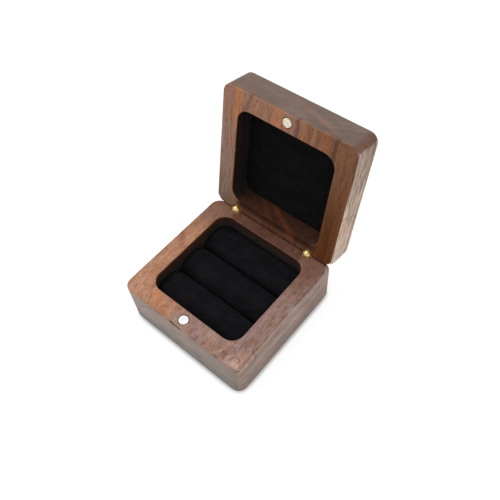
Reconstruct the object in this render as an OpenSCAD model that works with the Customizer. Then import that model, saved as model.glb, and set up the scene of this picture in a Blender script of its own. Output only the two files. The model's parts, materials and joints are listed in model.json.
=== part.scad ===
// Small hinged box in solid walnut with a slotted velvet pad, shown open on its stop.
// Origin: centre of the underside of the base. +Y points to the hinges, +Z up.

/* [Walnut case] */
// Width of the case from side to side
case_w = 60; // [50:0.5:80]
// Depth of the case from the front to the hinge side
case_d = 60; // [50:0.5:80]
// Height of the base
base_h = 22.5; // [18:0.5:40]
// Height of the lid
lid_h = 13.7; // [11:0.1:24]
// Thickness of the two side walls
side_wall = 7.7; // [6:0.1:10]
// Thickness of the front wall, which holds the magnets
front_wall = 7.8; // [6:0.1:10]
// Thickness of the rear wall, which holds the hinges
rear_wall = 7.8; // [7:0.1:10]
// Thickness of the wood under the cavity in the base
base_floor = 4; // [2.5:0.1:6]
// Thickness of the wood above the cavity in the lid
lid_top = 3.1; // [2.5:0.1:6]
// Radius of the four upright corners
corner_r = 4; // [3:0.1:7]
// Radius of the corners of both cavities
cavity_r = 5.5; // [3:0.1:9]
// Radius of the outer edges away from the seam
outer_edge_r = 1.5; // [0.5:0.1:2.5]
// Radius of the outer edges along the seam
seam_edge_r = 0.5; // [0.2:0.1:1]
// Radius of the two long edges of each rear bevel
bevel_edge_r = 1; // [0.3:0.1:1.5]
// Radius over which each end of a rear bevel falls away to the side of the case
bevel_end_r = 4; // [2:0.1:6]
// Gap between the two rims when the box is shut
seam_gap = 0.3; // [0.2:0.05:0.5]

/* [Hinges] */
// Angle of the open lid, where the two rear bevels meet
lid_open_deg = 102; // [90:1:110]
// Distance of the hinge axis from the rear face
axis_inset = 3; // [2.8:0.1:4]
// Distance of each hinge from the middle of the case
hinge_x = 19; // [10:0.5:21]
// Diameter of the hinge barrels
barrel_d = 4; // [3:0.1:4.4]
// Length of each barrel below the hinge axis
barrel_len = 7.5; // [5:0.1:9]
// Diameter of the round knuckle at the hinge axis
knuckle_d = 3.8; // [2.8:0.1:4.2]
// Thickness of the tongue between the two ears
tongue_t = 1.3; // [1:0.1:1.8]
// Diameter of the hinge pin
pin_d = 1; // [0.8:0.1:1.2]
// Number of grip grooves round each barrel
groove_count = 4; // [2:1:5]

/* [Magnets] */
// Diameter of the two magnets
magnet_d = 4; // [3:0.5:6]
// Thickness of each magnet
magnet_t = 2; // [1:0.5:3]

/* [Pad and lining] */
// Depth of the crowns of the rolls below the rim of the base
crown_drop = 4.4; // [3:0.1:8]
// Width of the slit between two rolls
slit_w = 0.4; // [0.2:0.1:1]
// Height over which the top of a roll is rounded
shoulder_h = 4.6; // [3:0.1:7]
// Thickness of the velvet
velvet_t = 0.8; // [0.5:0.1:1.2]
// Thickness of the stiff boards under the velvet
board_t = 1; // [0.6:0.1:2]
// Gap between the pad or lining and the walnut round it
pad_gap = 0.3; // [0.2:0.1:0.6]

/* [Hidden] */
$fn = 64;

WALNUT = "#6b4636";
BRASS = "#c9a24a";
NICKEL = "#d8d6d0";
VELVET = "#17171a";
FOAM = "#3a3a3e";
BOARD = "#8a8478";

// Radial play of a barrel and of a magnet in its hole, and of a pin in its tongue
barrel_play = 0.05;
magnet_play = 0.2;
pin_play = 0.04;
// Play round a knuckle and beside its tongue
knuckle_play = 0.08;
// How far the magnets and barrels sit below the rim
sink = 0.05;
// Play between the end of a barrel and the bottom of its bore
bore_end_play = 0.3;
// How far each end of a pin sits inside the round of its knuckle
pin_end_inset = 0.2;
// How deep the stem of a tongue is rooted in its barrel
stem_root = 1;
// Grooves round a barrel: depth, width, distance from one to the next, and place of the first
groove_depth = 0.2;
groove_w = 0.4;
groove_step = 1.2;
groove_start = 0.5;
// Play between a velvet cover and what it wraps
wrap_play = 0.05;

seam_z = base_h + seam_gap / 2;
axis_y = case_d / 2 - axis_inset;
bevel_deg = lid_open_deg / 2;
// Ends of the bevels cross the planes they run out to at a slight angle
end_cross = 0.1;
magnet_y = -(case_d - front_wall) / 2;
cavity_w = case_w - 2 * side_wall;
cavity_d = case_d - front_wall - rear_wall;
cavity_y = (front_wall - rear_wall) / 2;
bore_depth = barrel_len + bore_end_play;
// A length that reaches past the whole case in any cut
past = case_w + case_d + base_h + lid_h;

// The pad fills the cavity in the base with three equal rolls side by side
pad_w = cavity_w - 2 * pad_gap;
pad_d = cavity_d - 2 * pad_gap;
roll_w = (pad_d - 2 * slit_w) / 3;
roll_pitch = roll_w + slit_w;
roll_h = base_h - crown_drop - base_floor - board_t;
// A roll is drawn in by this much at its foot, and its ends are rounded over this length
foot_draw = 0.4;
end_round = 1.6;
// At its very ends a roll is lower by end_drop and narrower by end_narrow on each side
end_drop = 1.1;
end_narrow = 0.66;
// How much shorter the foam is at each end than its velvet asks
end_inset = 0.4;
// Exponent of the rounded top: 2 is an ellipse, more is squarer
crown_exp = 2.2;
crown_steps = 9;
end_steps = 5;

// ---- Case ----

// Upright half section: round below at the far edge, and above at the seam
module edge_section(reach, h) {
    square([reach - outer_edge_r, h]);
    translate([0, outer_edge_r])
        square([reach - seam_edge_r, h - outer_edge_r]);
    translate([0, outer_edge_r])
        square([reach, h - outer_edge_r - seam_edge_r]);
    translate([reach - outer_edge_r, outer_edge_r])
        circle(outer_edge_r);
    translate([reach - seam_edge_r, h - seam_edge_r])
        circle(seam_edge_r);
}

module full_section(width, h) {
    edge_section(width / 2, h);
    mirror([1, 0])
        edge_section(width / 2, h);
}

// Block with round upright corners and round edges, standing on z = 0
module eased_block(w, d, h) {
    rotate([90, 0, 0])
        translate([0, 0, -d / 2 + corner_r])
            linear_extrude(d - 2 * corner_r)
                full_section(w, h);
    rotate([90, 0, 90])
        translate([0, 0, -w / 2 + corner_r])
            linear_extrude(w - 2 * corner_r)
                full_section(d, h);
    for (quarter = [0 : 3]) {
        sx = (quarter == 0 || quarter == 3) ? 1 : -1;
        sy = quarter < 2 ? 1 : -1;
        translate([sx * (w / 2 - corner_r), sy * (d / 2 - corner_r), 0])
            rotate(90 * quarter)
                rotate_extrude(angle = 90)
                    edge_section(corner_r, h);
    }
}

// Upright prism on the cavity's plan, drawn in by inset on every side
module cavity_prism(inset, h) {
    w = cavity_w - 2 * inset;
    d = cavity_d - 2 * inset;
    r = cavity_r - inset;
    translate([0, cavity_y, 0])
        linear_extrude(h) {
            square([w - 2 * r, d], center = true);
            square([w, d - 2 * r], center = true);
            for (sx = [-1, 1], sy = [-1, 1])
                translate([sx * (w / 2 - r), sy * (d / 2 - r)])
                    circle(r);
        }
}

// Everything behind the rear bevel, which falls away from the rim at z = 0.
// Both long edges of the bevel are round.
module behind_bevel() {
    rim_turn = bevel_edge_r * tan(bevel_deg / 2);
    rear_turn = bevel_edge_r * tan((90 - bevel_deg) / 2);
    rear_y = case_d / 2;
    rear_z = -axis_inset * tan(bevel_deg);
    rotate([90, 0, 90])
        translate([0, 0, -past / 2])
            linear_extrude(past)
                difference() {
                    polygon([
                        [axis_y - rim_turn, 0],
                        [axis_y + rim_turn * cos(bevel_deg), -rim_turn * sin(bevel_deg)],
                        [rear_y - rear_turn * cos(bevel_deg), rear_z + rear_turn * sin(bevel_deg)],
                        [rear_y, rear_z - rear_turn],
                        [past, rear_z - rear_turn],
                        [past, past],
                        [axis_y - rim_turn, past]
                    ]);
                    translate([axis_y - rim_turn, -bevel_edge_r])
                        circle(bevel_edge_r);
                    translate([rear_y - bevel_edge_r, rear_z - rear_turn])
                        circle(bevel_edge_r);
                }
}

// What each end of the bevel loses where it falls away to the side of the case
module beyond_bevel_end() {
    translate([case_w / 2 - bevel_end_r, axis_y, 0])
        rotate([-bevel_deg, 0, 0])
            translate([0, 0, -bevel_end_r])
                difference() {
                    translate([0, -past / 2, 0])
                        cube([past, past, past]);
                    rotate([90, 0, 0])
                        cylinder(r = bevel_end_r + end_cross, h = 2 * past, center = true);
                }
}

// One half of the case with its rim at z = 0 and its wood below
module case_half(h, floor_t) {
    difference() {
        translate([0, 0, -h])
            eased_block(case_w, case_d, h);
        translate([0, 0, -h + floor_t])
            cavity_prism(0, h);
        behind_bevel();
        beyond_bevel_end();
        mirror([1, 0, 0])
            beyond_bevel_end();
        for (side = [-1, 1])
            translate([side * hinge_x, axis_y, -bore_depth - seam_gap / 2])
                cylinder(d = barrel_d + 2 * barrel_play, h = past);
        translate([0, magnet_y, -magnet_t - sink])
            cylinder(d = magnet_d + 2 * magnet_play, h = past);
    }
}

// Places what belongs to the base with its rim at z = 0
module at_base_rim() {
    translate([0, 0, base_h])
        children();
}

// Places what belongs to the lid, made like the base, on the lid at its open stop
module at_lid_rim() {
    translate([0, axis_y, seam_z])
        rotate([-lid_open_deg, 0, 0])
            translate([0, -axis_y, seam_gap / 2])
                mirror([0, 0, 1])
                    children();
}

module base_body() {
    color(WALNUT)
        at_base_rim()
            case_half(base_h, base_floor);
}

module lid_body() {
    color(WALNUT)
        at_lid_rim()
            case_half(lid_h, lid_top);
}

// ---- Magnets ----

module magnet_disc() {
    translate([0, magnet_y, -magnet_t - sink])
        cylinder(d = magnet_d, h = magnet_t);
}

module base_magnet() {
    color(NICKEL)
        at_base_rim()
            magnet_disc();
}

module lid_magnet() {
    color(NICKEL)
        at_lid_rim()
            magnet_disc();
}

// ---- Hinges ----
// Each hinge has two grooved barrels. The one in the base ends in a round knuckle with
// two ears, the one in the lid in the tongue between them, and a pin joins them.

// Wood side of the rim and the bevel, a little below both, seen from the hinge axis
module below_rim() {
    difference() {
        translate([-past / 2, -past / 2, -past - seam_gap / 2 - sink])
            cube([past, past, past]);
        translate([0, -axis_y, -seam_gap / 2 - sink])
            behind_bevel();
    }
}

module grooved_barrel() {
    difference() {
        translate([0, 0, -barrel_len])
            cylinder(d = barrel_d, h = barrel_len);
        for (i = [0 : groove_count - 1])
            translate([0, 0, -barrel_len + groove_start + i * groove_step])
                difference() {
                    cylinder(d = barrel_d + 2 * groove_depth, h = groove_w);
                    cylinder(d = barrel_d - 2 * groove_depth, h = groove_w);
                }
    }
}

// The slice of a ball at the hinge axis that is within half_t of its middle plane
module ball_slice(ball_d, half_t) {
    intersection() {
        sphere(d = ball_d);
        translate([-half_t, -ball_d, -ball_d])
            cube([2 * half_t, 2 * ball_d, 2 * ball_d]);
    }
}

module pin_hole() {
    rotate([0, 90, 0])
        cylinder(d = pin_d + 2 * pin_play, h = 2 * knuckle_d, center = true);
}

module eared_barrel() {
    difference() {
        union() {
            intersection() {
                grooved_barrel();
                below_rim();
            }
            sphere(d = knuckle_d);
        }
        ball_slice(knuckle_d + 2 * knuckle_play, tongue_t / 2 + knuckle_play);
        pin_hole();
    }
}

// Joins the tongue to its barrel across the play round the knuckle
module tongue_stem() {
    intersection() {
        translate([0, 0, -knuckle_d / 2 - stem_root])
            cylinder(d = barrel_d, h = knuckle_d / 2 + stem_root);
        translate([-tongue_t / 2, -barrel_d, -barrel_d])
            cube([tongue_t, 2 * barrel_d, barrel_d]);
    }
}

module tongued_barrel() {
    difference() {
        union() {
            difference() {
                intersection() {
                    grooved_barrel();
                    below_rim();
                }
                sphere(d = knuckle_d + 2 * knuckle_play);
            }
            ball_slice(knuckle_d, tongue_t / 2);
            intersection() {
                tongue_stem();
                below_rim();
            }
        }
        pin_hole();
    }
}

module hinge_pin(side) {
    translate([side * hinge_x, axis_y, seam_z])
        rotate([0, 90, 0])
            cylinder(d = pin_d, h = knuckle_d - 2 * pin_end_inset, center = true);
}

module at_base_hinge(side) {
    translate([side * hinge_x, axis_y, seam_z])
        children();
}

module at_lid_hinge(side) {
    translate([side * hinge_x, axis_y, seam_z])
        rotate([-lid_open_deg, 0, 0])
            mirror([0, 0, 1])
                children();
}

module base_barrel_left() {
    color(BRASS)
        at_base_hinge(-1)
            eared_barrel();
}

module base_barrel_right() {
    color(BRASS)
        at_base_hinge(1)
            eared_barrel();
}

module lid_barrel_left() {
    color(BRASS)
        at_lid_hinge(-1)
            tongued_barrel();
}

module lid_barrel_right() {
    color(BRASS)
        at_lid_hinge(1)
            tongued_barrel();
}

module hinge_pin_left() {
    color(BRASS)
        hinge_pin(-1);
}

module hinge_pin_right() {
    color(BRASS)
        hinge_pin(1);
}

// ---- Pad ----

// Quarter of a rounded top, from the crown (0) to the shoulder (1)
function crown_point(half_w, h, t) =
    let (a = 90 * t)
    [half_w * pow(sin(a), 2 / crown_exp),
     h - shoulder_h + shoulder_h * pow(cos(a), 2 / crown_exp)];

// Section of a roll from its foot up over the right shoulder, the crown and the left shoulder
function roll_section(half_w, h, foot_z = 0) =
    let (right = [for (i = [crown_steps : -1 : 0]) crown_point(half_w, h, i / crown_steps)],
         left = [for (i = [1 : crown_steps]) crown_point(half_w, h, i / crown_steps)])
    concat(
        [[half_w - foot_draw, foot_z]],
        right,
        [for (p = left) [-p[0], p[1]]],
        [[-half_w + foot_draw, foot_z]]
    );

// Places along a roll: close together where the ends are rounded
function end_stations(half_len) =
    let (near = [for (i = [0 : end_steps]) half_len - end_round * (1 - sin(90 * i / end_steps))])
    concat([for (i = [end_steps : -1 : 0]) -near[i]], near);

// How far the end of a roll has rounded away at x, from 0 to 1
function end_fade(x, half_len) =
    let (t = max(0, abs(x) - half_len + end_round) / end_round)
    1 - sqrt(max(0, 1 - t * t));

// One velvet roll as a closed form, lying along X on z = 0
module roll_form(half_len, half_w, h) {
    xs = end_stations(half_len);
    rings = [for (x = xs)
        let (fade = end_fade(x, half_len))
        [for (p = roll_section(half_w - end_narrow * fade, h - end_drop * fade))
            [x, p[0], p[1]]]];
    n = len(rings[0]);
    last = (len(xs) - 1) * n;
    points = [for (ring = rings) for (p = ring) p];
    side = [for (s = [0 : len(xs) - 2]) for (i = [0 : n - 1])
        let (a = s * n + i, b = s * n + (i + 1) % n)
        each [[a, b, a + n], [b, b + n, a + n]]];
    caps = [for (i = [1 : n - 2])
        each [[0, i + 1, i], [last, last + i, last + i + 1]]];
    polyhedron(points, concat(side, caps));
}

module at_roll(index) {
    translate([0, cavity_y + (index - 1) * roll_pitch, base_floor + board_t])
        children();
}

// The foam inside a roll, grown by play all round and down to foot_z
module core_shape(index, play, foot_z) {
    inset = velvet_t + wrap_play - play;
    intersection() {
        at_roll(index)
            rotate([90, 0, 90])
                translate([0, 0, -pad_w / 2])
                    linear_extrude(pad_w)
                        polygon(roll_section(roll_w / 2 - inset, roll_h - inset - end_drop / 2, foot_z));
        cavity_prism(pad_gap + inset + end_inset, base_h);
    }
}

module foam_core(index) {
    color(FOAM)
        core_shape(index, 0, 0);
}

module velvet_roll(index) {
    color(VELVET)
        difference() {
            intersection() {
                at_roll(index)
                    roll_form(pad_w / 2, roll_w / 2, roll_h);
                cavity_prism(pad_gap, base_h);
            }
            core_shape(index, wrap_play, -board_t);
        }
}

module pad_board() {
    color(BOARD)
        translate([0, 0, base_floor])
            cavity_prism(pad_gap, board_t);
}

// ---- Lid lining ----
// A stiff board with velvet pulled round its face and edges

module lid_board() {
    color(BOARD)
        at_lid_rim()
            translate([0, 0, -lid_h + lid_top])
                cavity_prism(pad_gap + velvet_t + wrap_play, board_t);
}

module lid_lining() {
    color(VELVET)
        at_lid_rim()
            translate([0, 0, -lid_h + lid_top])
                difference() {
                    cavity_prism(pad_gap, board_t + wrap_play + velvet_t);
                    translate([0, 0, -board_t])
                        cavity_prism(pad_gap + velvet_t, 2 * board_t + wrap_play);
                }
}

base_body();
lid_body();
base_magnet();
lid_magnet();
base_barrel_left();
base_barrel_right();
lid_barrel_left();
lid_barrel_right();
hinge_pin_left();
hinge_pin_right();
pad_board();
foam_core(0);  // foam_core_front
foam_core(1);  // foam_core_middle
foam_core(2);  // foam_core_rear
velvet_roll(0);  // velvet_roll_front
velvet_roll(1);  // velvet_roll_middle
velvet_roll(2);  // velvet_roll_rear
lid_board();
lid_lining();
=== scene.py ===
"""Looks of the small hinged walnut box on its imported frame. Laid out as an add-on, run as a script."""

import json
import math
from collections import namedtuple

import bmesh
import bpy
import numpy as np
from mathutils import Matrix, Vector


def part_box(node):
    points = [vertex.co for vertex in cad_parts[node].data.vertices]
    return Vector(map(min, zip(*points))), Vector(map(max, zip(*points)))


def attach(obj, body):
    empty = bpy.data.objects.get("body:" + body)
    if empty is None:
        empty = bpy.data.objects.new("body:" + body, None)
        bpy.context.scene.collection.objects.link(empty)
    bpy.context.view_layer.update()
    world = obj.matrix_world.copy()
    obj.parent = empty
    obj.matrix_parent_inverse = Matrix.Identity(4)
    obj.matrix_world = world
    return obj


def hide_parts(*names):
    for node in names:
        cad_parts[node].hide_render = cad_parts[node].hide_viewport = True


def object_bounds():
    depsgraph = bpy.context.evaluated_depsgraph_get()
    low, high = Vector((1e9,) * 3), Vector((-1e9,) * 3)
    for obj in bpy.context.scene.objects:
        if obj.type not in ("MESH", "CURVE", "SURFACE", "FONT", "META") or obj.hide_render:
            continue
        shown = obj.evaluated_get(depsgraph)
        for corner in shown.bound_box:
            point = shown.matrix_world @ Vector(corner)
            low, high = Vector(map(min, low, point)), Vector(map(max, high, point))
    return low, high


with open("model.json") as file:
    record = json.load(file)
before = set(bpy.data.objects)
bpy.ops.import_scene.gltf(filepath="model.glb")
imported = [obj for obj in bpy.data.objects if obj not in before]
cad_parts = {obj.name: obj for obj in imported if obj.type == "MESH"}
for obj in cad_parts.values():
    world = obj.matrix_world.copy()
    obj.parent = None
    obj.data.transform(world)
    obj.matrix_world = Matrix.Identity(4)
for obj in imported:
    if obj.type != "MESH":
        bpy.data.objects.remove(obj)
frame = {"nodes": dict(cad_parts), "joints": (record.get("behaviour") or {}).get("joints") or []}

CAD_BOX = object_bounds()

bl_info = {
    "name": "Walnut Display Box",
    "version": (1, 0, 0),
    "blender": (4, 5, 0),
    "location": "3D View > Sidebar > Display Box",
    "description": "Walnut, brass, nickel, velvet and stage of a small hinged display box",
    "category": "Object",
}

HINGE = frame["joints"][0]
AXIS_MM = np.array(HINGE["pos_m"]) * 1000
LID_OPEN = math.radians(HINGE["range_deg"][1])

MERGE_M = 2e-6          # vertices of a CAD mesh closer than this are one
FLAT_DEG = 0.3          # facets that meet at less than this are one face
WOOD_SHARP_DEG = 30     # wooden edges, and those of the pins, are sharp beyond this angle
BRASS_SHARP_DEG = 40    # and those of the barrels beyond this one
PIN_EDGE_MM = 0.12      # eased edge of a hinge pin's ends
WELL_CORNER_MM = 5.2    # radius of the velvet's upright corners, in the pad and in the lid
LINING_EDGE_MM = 0.7    # radius over which the lid's velvet turns down
LINING_CLOTH_MM = 0.5   # thickness of that velvet
TINY = 1e-9             # keeps a division away from zero


# ---------------------------------------------------------------- meshes


def box_mm(node):
    """Lowest and highest corner of a CAD node at rest, in millimetres."""
    low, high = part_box(node)
    return np.array(low) * 1000, np.array(high) * 1000


def turned_about_hinge(points, angle):
    """Points in millimetres turned about the hinge axis: y and z turn, x stays."""
    y, z = points[..., 1] - AXIS_MM[1], points[..., 2] - AXIS_MM[2]
    out = np.array(points, float)
    out[..., 1] = y * math.cos(angle) - z * math.sin(angle) + AXIS_MM[1]
    out[..., 2] = y * math.sin(angle) + z * math.cos(angle) + AXIS_MM[2]
    return out


def piece_from(name, points_mm, faces):
    """New smooth object at the origin from points in millimetres and a list of faces, which it turns
    outward."""
    mesh = bpy.data.meshes.new(name)
    mesh.from_pydata((np.asarray(points_mm) / 1000).tolist(), [], faces)
    bm = bmesh.new()
    bm.from_mesh(mesh)
    bmesh.ops.remove_doubles(bm, verts=bm.verts, dist=1e-7)
    bmesh.ops.recalc_face_normals(bm, faces=bm.faces)
    bm.to_mesh(mesh)
    bm.free()
    mesh.shade_smooth()
    made = bpy.data.objects.new(name, mesh)
    bpy.context.scene.collection.objects.link(made)
    return made


def ring_faces(rings, around):
    """Quads between closed rings of points, and a fan to one pole point at each end."""
    i, j = np.meshgrid(np.arange(rings - 1), np.arange(around), indexing="ij")
    k = (j + 1) % around
    quads = np.stack([i * around + j, i * around + k, (i + 1) * around + k, (i + 1) * around + j], -1)
    faces = quads.reshape(-1, 4).tolist()
    first, last = rings * around, rings * around + 1
    faces += [[first, (n + 1) % around, n] for n in range(around)]
    start = (rings - 1) * around
    faces += [[last, start + n, start + (n + 1) % around] for n in range(around)]
    return faces


def closed_piece(name, grid):
    """Piece from a grid of closed rings, whose first and last ring close in a pole at their middle."""
    rings, around = grid.shape[:2]
    poles = np.stack([grid[0].mean(0), grid[-1].mean(0)])
    points = np.concatenate([grid.reshape(-1, 3), poles])
    return piece_from(name, points, ring_faces(rings, around))


def finished_copy(name, node, edge_mm, sharp_deg, turn=0.0, left_sharp=None):
    """Merged copy of a CAD node's mesh, smooth across its facets, with its sharp edges eased by a live
    bevel. Edges whose middle lies beyond left_sharp = (|x|, y) in the shut box are too short for it and
    stay sharp."""
    mesh = frame["nodes"][node].data.copy()
    mesh.name = name
    if "custom_normal" in mesh.attributes:
        mesh.attributes.remove(mesh.attributes["custom_normal"])
    bm = bmesh.new()
    bm.from_mesh(mesh)
    bmesh.ops.remove_doubles(bm, verts=bm.verts, dist=MERGE_M)
    bmesh.ops.dissolve_limit(bm, angle_limit=math.radians(FLAT_DEG), verts=bm.verts, edges=bm.edges)
    bmesh.ops.recalc_face_normals(bm, faces=bm.faces)
    weight = bm.edges.layers.float.new("bevel_weight_edge")
    middles = np.array([(edge.verts[0].co + edge.verts[1].co) / 2 for edge in bm.edges]) * 1000
    shut = turned_about_hinge(middles, turn)
    spared = np.zeros(len(shut), bool)
    if left_sharp:
        spared = (np.abs(shut[:, 0]) > left_sharp[0]) & (shut[:, 1] > left_sharp[1])
    for edge, spare in zip(bm.edges, spared):
        edge[weight] = float(edge.calc_face_angle(0.0) > math.radians(sharp_deg) and not spare)
    bm.to_mesh(mesh)
    bm.free()
    mesh.materials.clear()
    mesh.shade_smooth()
    mesh.set_sharp_from_angle(angle=math.radians(sharp_deg))
    made = bpy.data.objects.new(name, mesh)
    bpy.context.scene.collection.objects.link(made)
    if edge_mm:
        ease = made.modifiers.new("eased edges", "BEVEL")
        ease.width = edge_mm / 1000
        ease.segments = 3
        ease.limit_method = "WEIGHT"
        ease.harden_normals = True
        ease.use_clamp_overlap = False
        ease.miter_outer = "MITER_ARC"
    return made


def keep(made, body, material, node):
    """Gives a piece its finish and its body, and hides the CAD node that it stands for."""
    made.data.materials.clear()
    made.data.materials.append(material)
    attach(made, body)
    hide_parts(node)


# ---------------------------------------------------------------- materials


class Shading:
    """The node tree of a material or a world, written with short calls. Sockets are linked, other values
    are set."""

    def __init__(self, owner):
        owner.use_nodes = True
        self.tree = owner.node_tree
        self.tree.nodes.clear()

    def add(self, kind, sockets=None, **settings):
        node = self.tree.nodes.new("ShaderNode" + kind)
        for key, value in settings.items():
            setattr(node, key, value)
        for key, value in (sockets or {}).items():
            if isinstance(value, bpy.types.NodeSocket):
                self.tree.links.new(value, node.inputs[key])
            else:
                node.inputs[key].default_value = value
        return node

    def math(self, operation, a, b=0.0):
        return self.add("Math", {0: a, 1: b}, operation=operation).outputs[0]

    def vector(self, operation, a, b=(0, 0, 0)):
        node = self.add("VectorMath", {0: a, 1: b}, operation=operation)
        return node.outputs["Value" if operation in ("LENGTH", "DOT_PRODUCT") else "Vector"]

    def noise(self, at, scale, detail=2.0, rough=0.5, want="Fac"):
        """Noise whose scale may differ along the three axes."""
        spot = self.vector("MULTIPLY", at, scale if isinstance(scale, tuple) else (scale,) * 3)
        sockets = {"Vector": spot, "Scale": 1.0, "Detail": detail, "Roughness": rough}
        return self.add("TexNoise", sockets).outputs[want]

    def centred(self, noise):
        """A noise less its middle, so that it sways about nought."""
        return self.math("SUBTRACT", noise, 0.5)

    def wandering(self, at, scale, reach):
        """A place moved by slow noise, by up to half of reach along each axis."""
        drift = self.vector("SUBTRACT", self.noise(at, scale, 2.0, 0.5, "Color"), (0.5, 0.5, 0.5))
        return self.vector("ADD", at, self.vector("MULTIPLY", drift, reach))

    def ramp(self, value, *stops):
        """Colour ramp through (place, colour) stops."""
        node = self.add("ValToRGB", {"Fac": value})
        band = node.color_ramp
        while len(band.elements) < len(stops):
            band.elements.new(1.0)
        for element, (place, colour) in zip(band.elements, stops):
            element.position, element.color = place, (*colour, 1)
        return node.outputs["Color"]

    def range(self, value, low, high, to_low=0.0, to_high=1.0):
        """Eases a value from to_low at low to to_high at high, and keeps it between them."""
        sockets = {"Value": value, "From Min": low, "From Max": high, "To Min": to_low, "To Max": to_high}
        return self.add("MapRange", sockets, interpolation_type="SMOOTHSTEP").outputs["Result"]

    def mix(self, share, a, b, blend="MIX"):
        node = self.add("Mix", {0: share}, data_type="RGBA", blend_type=blend)
        for index, value in ((6, a), (7, b)):
            if isinstance(value, bpy.types.NodeSocket):
                self.tree.links.new(value, node.inputs[index])
            else:
                node.inputs[index].default_value = (*value, 1)
        return node.outputs[2]

    def bump(self, height, depth_mm, strength=1.0, normal=None):
        sockets = {"Height": height, "Distance": depth_mm / 1000, "Strength": strength}
        if normal is not None:
            sockets["Normal"] = normal
        return self.add("Bump", sockets).outputs["Normal"]

    def millimetres(self, turn=0.0):
        """Object coordinates in millimetres, turned by an angle about the hinge axis."""
        place = self.add("TexCoord").outputs["Object"]
        c, s = math.cos(turn), math.sin(turn)
        y, z = AXIS_MM[1], AXIS_MM[2]
        where = (0, y - (y * c - z * s), z - (y * s + z * c))
        sockets = {"Vector": place, "Location": where, "Rotation": (turn, 0, 0), "Scale": (1000,) * 3}
        return self.add("Mapping", sockets).outputs[0]

    def shown(self):
        """1 for a ray that shows a thing, straight or in a mirror or through glass, and 0 for one that
        lights it."""
        path = self.add("LightPath").outputs
        straight_or_mirrored = self.math("MAXIMUM", path["Is Camera Ray"], path["Is Glossy Ray"])
        return self.math("MAXIMUM", straight_or_mirrored, path["Is Transmission Ray"])

    def end(self, shader, kind="OutputMaterial"):
        """Links a shader to the tree's output."""
        self.tree.links.new(shader.outputs[0], self.add(kind).inputs["Surface"])


class Finish(Shading):
    """A new material and its node tree."""

    def __init__(self, name):
        self.material = bpy.data.materials.new(name)
        super().__init__(self.material)

    def surface(self, **sockets):
        """Ends the tree in a Principled shader with these sockets and returns the material."""
        named = {key.replace("_", " "): value for key, value in sockets.items()}
        self.end(self.add("BsdfPrincipled", named))
        return self.material


# How a block of walnut was cut: the angle that turns it into the shut box, the place of the far pith, its
# zones and figures, how much of each pattern its long grain and its end grain have, and the contrast of its
# right side.
Cut = namedtuple("Cut", "turn pith zones figures layers end_layers right_contrast")

END_GRAIN = (28.6, 29.5)        # from here to here along Y the wood turns to end grain
LEFT_CONTRAST = 1.4             # of the side that faces -X
CURL_AT = (27.0, -27.6, 20.0)   # middle of the curled grain at the front right corner of the base
CURL_FADE = (14, 5)             # the curl rises between these distances from its middle
BLOTCHED = (20.5, 22.3)         # the blotches show on the rim of the base, above these heights
PLAIN = (1.0, 1.0, 1.0)         # a tint that changes nothing


def wood_patterns(f, at, bent, place, pith):
    """The noises that the tone of walnut is summed from. Growth bands are noise of the distance from a far
    pith. Streaks, lines and fibres are noise drawn out along the grain, and patches and blotches are nearly
    round. The swirl is noise of the distance from the curl, and fades with it."""
    offset = f.vector("MULTIPLY", f.vector("SUBTRACT", bent, pith), (1, 0.02, 1))
    growth = f.add("CombineXYZ", {"X": f.vector("LENGTH", offset), "Y": place["Y"]}).outputs[0]
    patch = f.noise(at, (0.16, 0.10, 0.16), 2.0, 0.5)
    from_curl = f.vector("LENGTH", f.vector("SUBTRACT", at, CURL_AT))
    bands = f.math("ADD", from_curl, f.math("MULTIPLY", patch, 6))
    curled = f.add("CombineXYZ", {"X": bands, "Y": f.math("MULTIPLY", place["X"], 0.12)}).outputs[0]
    near_curl = f.range(from_curl, *CURL_FADE)
    swirl = f.math("MULTIPLY", f.centred(f.noise(curled, (1.5, 1, 1), 2.0, 0.6)), near_curl)
    return {
        "swirl": f.math("ADD", 0.5, swirl),
        "lines": f.noise(bent, (2.3, 0.045, 2.3), 3.0, 0.65),
        "broad": f.noise(growth, (0.22, 0.010, 1), 2.0, 0.55),
        "rings": f.noise(growth, (1.3, 0.018, 1), 3.0, 0.6),
        "fibre": f.noise(bent, (6.0, 0.16, 6.0), 3.0, 0.6),
        "patch": patch,
        "blotch": f.noise(at, (0.55, 0.30, 0.55), 5.0, 0.68),
        "streak": f.noise(bent, (0.75, 0.022, 0.75), 3.0, 0.65),
    }


def wood_tone(f, patterns, place, end_grain, cut):
    """Tone about 0.5: each pattern times its amount, with other amounts on the end grain, and more contrast
    at the sides."""
    def summed(amounts):
        total = 0.0
        for key, amount in amounts.items():
            part = f.math("MULTIPLY", f.centred(patterns[key]), amount)
            if key == "blotch":
                part = f.math("MULTIPLY", part, f.range(place["Z"], *BLOTCHED))
            total = f.math("ADD", total, part)
        return total

    right = f.range(place["X"], END_GRAIN[0], END_GRAIN[1], 1.0, cut.right_contrast)
    left = f.range(place["X"], -END_GRAIN[0], -END_GRAIN[1], 1.0, LEFT_CONTRAST)
    along = f.math("MULTIPLY", summed(cut.layers), f.math("MULTIPLY", right, left))
    along = f.math("MULTIPLY", along, f.math("SUBTRACT", 1.0, end_grain))
    across = f.math("MULTIPLY", summed(cut.end_layers), end_grain)
    return f.math("ADD", 0.5, f.math("ADD", along, across))


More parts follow.
